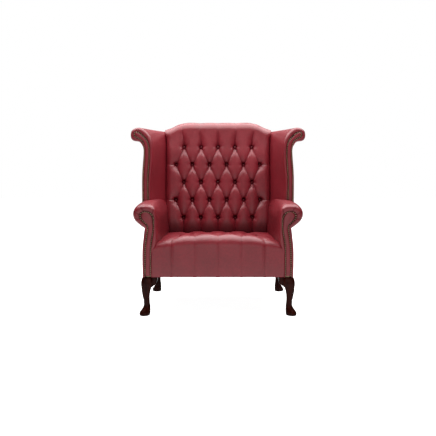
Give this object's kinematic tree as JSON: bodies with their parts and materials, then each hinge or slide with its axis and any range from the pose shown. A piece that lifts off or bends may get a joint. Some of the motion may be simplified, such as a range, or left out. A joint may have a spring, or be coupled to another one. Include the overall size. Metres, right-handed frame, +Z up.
{
  "type": "loveseat",
  "caption": "Deep-buttoned leather wing loveseat with scroll arms, nailed facings and cabriole legs on pad feet.",
  "frame": {"origin": "middle of the footprint of the whole seat, on the floor", "axes": "+Z up, front of the seat faces -Y, +X to the right of a viewer in front"},
  "size_m": [1.064, 0.802, 1.1398],
  "materials": {
    "oxblood_leather": "pigmented hide with a fine grain and a soft sheen, darker in the folds",
    "mahogany": "dark stained and polished",
    "beech": "planed, unfinished",
    "webbing": "woven jute",
    "stuffing": "upholstery stuffing",
    "black_cloth": "thin woven cloth",
    "antique_brass": "dark patina"
  },
  "bodies": {
    "root": {"back_buttons": "oxblood_leather", "back_foam": "stuffing", "back_seat_rail": "beech", "back_webbing": "webbing", "corner_blocks": "beech", "dust_cover": "black_cloth", "front_left_leg": "mahogany", "front_right_leg": "mahogany", "front_seat_rail": "beech", "inside_back": "oxblood_leather", "left_arm_facing": "oxblood_leather", "left_arm_rail": "beech", "left_back_post": "beech", "left_front_post": "beech", "left_inside_arm": "oxblood_leather", "left_inside_wing": "oxblood_leather", "left_outside_arm": "oxblood_leather", "left_outside_wing": "oxblood_leather", "left_seat_side_rail": "beech", "left_tack_rail": "beech", "left_wing_facing": "oxblood_leather", "left_wing_post": "beech", "left_wing_top_rail": "beech", "leg_dowels": "beech", "lower_back_rail": "beech", "outside_back": "oxblood_leather", "rear_left_leg": "mahogany", "rear_right_leg": "mahogany", "right_arm_facing": "oxblood_leather", "right_arm_rail": "beech", "right_back_post": "beech", "right_front_post": "beech", "right_inside_arm": "oxblood_leather", "right_inside_wing": "oxblood_leather", "right_outside_arm": "oxblood_leather", "right_outside_wing": "oxblood_leather", "right_seat_side_rail": "beech", "right_tack_rail": "beech", "right_wing_facing": "oxblood_leather", "right_wing_post": "beech", "right_wing_top_rail": "beech", "seat_buttons": "oxblood_leather", "seat_cover": "oxblood_leather", "seat_foam": "stuffing", "seat_webbing": "webbing", "top_back_rail": "beech"}
  },
  "joints": []
}
